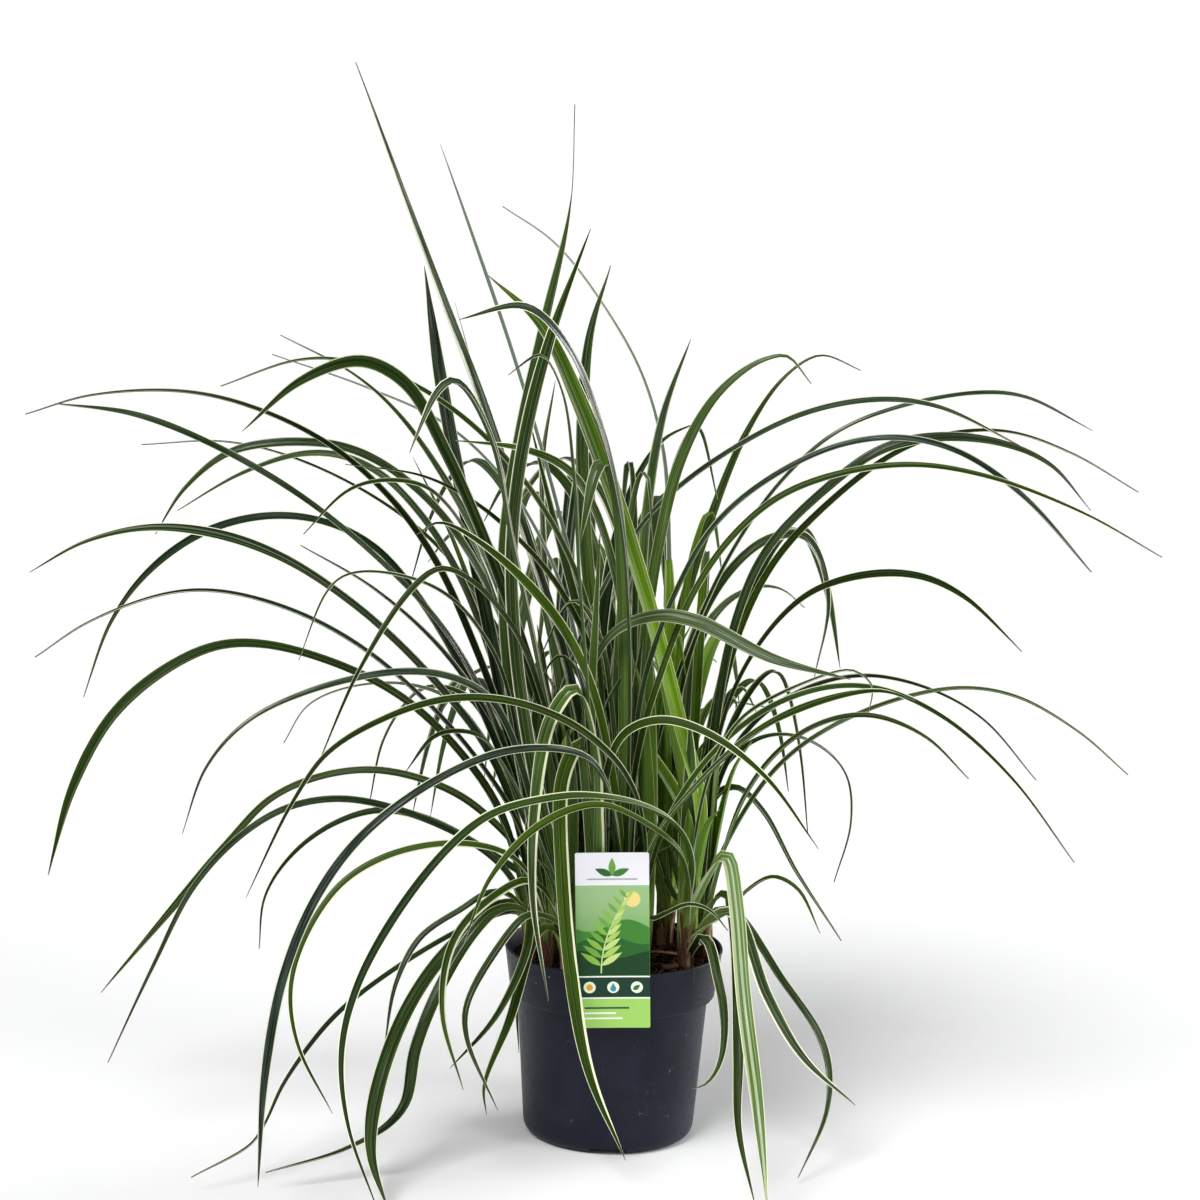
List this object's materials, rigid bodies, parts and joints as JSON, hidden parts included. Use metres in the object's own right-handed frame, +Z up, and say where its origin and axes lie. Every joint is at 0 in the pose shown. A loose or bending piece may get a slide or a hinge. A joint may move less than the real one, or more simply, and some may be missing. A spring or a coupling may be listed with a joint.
{
  "type": "carex sedge in a nursery pot",
  "caption": "Clump-forming ornamental sedge with arching, cream-edged green blades, growing in a round tapered nursery pot with a plant label hooked over its rim.",
  "frame": {"origin": "middle of the pot's underside, on the centre pad", "axes": "+Z up out of the pot; -Y is the front, the side with the plant label; +X to the right as seen from the front"},
  "size_m": [0.874, 0.6683, 0.8285],
  "materials": {
    "pot_plastic": "semi-matte blue-black injection-moulded plastic, scuffed and dusty",
    "potting_soil": "matte, dark peat with reddish-brown fibres",
    "label_card": "printed satin card in white, dark green and light green bands",
    "straw": "dry, satin",
    "bark": "rough, matte",
    "sedge_leaf": "waxy satin, dark green with narrow cream margins and ribs along the blade",
    "dry_sheath": "papery, torn, red-brown"
  },
  "bodies": {
    "root": {"pot": "pot_plastic", "potting_soil": "potting_soil", "plant_label": "label_card", "straw": "straw", "bark_chip_1": "bark", "bark_chip_2": "bark", "bark_chip_3": "bark", "tiller_left_1": "sedge_leaf", "sheath_left_1": "dry_sheath", "tiller_left_2": "sedge_leaf", "sheath_left_2": "dry_sheath", "tiller_left_3": "sedge_leaf", "sheath_left_3": "dry_sheath", "tiller_left_4": "sedge_leaf", "sheath_left_4": "dry_sheath", "tiller_left_5": "sedge_leaf", "sheath_left_5": "dry_sheath", "tiller_middle_1": "sedge_leaf", "sheath_middle_1": "dry_sheath", "tiller_middle_2": "sedge_leaf", "sheath_middle_2": "dry_sheath", "tiller_middle_3": "sedge_leaf", "sheath_middle_3": "dry_sheath", "tiller_middle_4": "sedge_leaf", "sheath_middle_4": "dry_sheath", "tiller_middle_5": "sedge_leaf", "sheath_middle_5": "dry_sheath", "tiller_middle_6": "sedge_leaf", "sheath_middle_6": "dry_sheath", "tiller_middle_7": "sedge_leaf", "sheath_middle_7": "dry_sheath", "tiller_middle_8": "sedge_leaf", "sheath_middle_8": "dry_sheath", "tiller_middle_9": "sedge_leaf", "sheath_middle_9": "dry_sheath", "tiller_middle_10": "sedge_leaf", "sheath_middle_10": "dry_sheath", "tiller_right_1": "sedge_leaf", "sheath_right_1": "dry_sheath", "tiller_right_2": "sedge_leaf", "sheath_right_2": "dry_sheath", "tiller_right_3": "sedge_leaf", "sheath_right_3": "dry_sheath", "tiller_right_4": "sedge_leaf", "sheath_right_4": "dry_sheath", "tiller_young_1": "sedge_leaf", "sheath_young_1": "dry_sheath"}
  },
  "joints": []
}
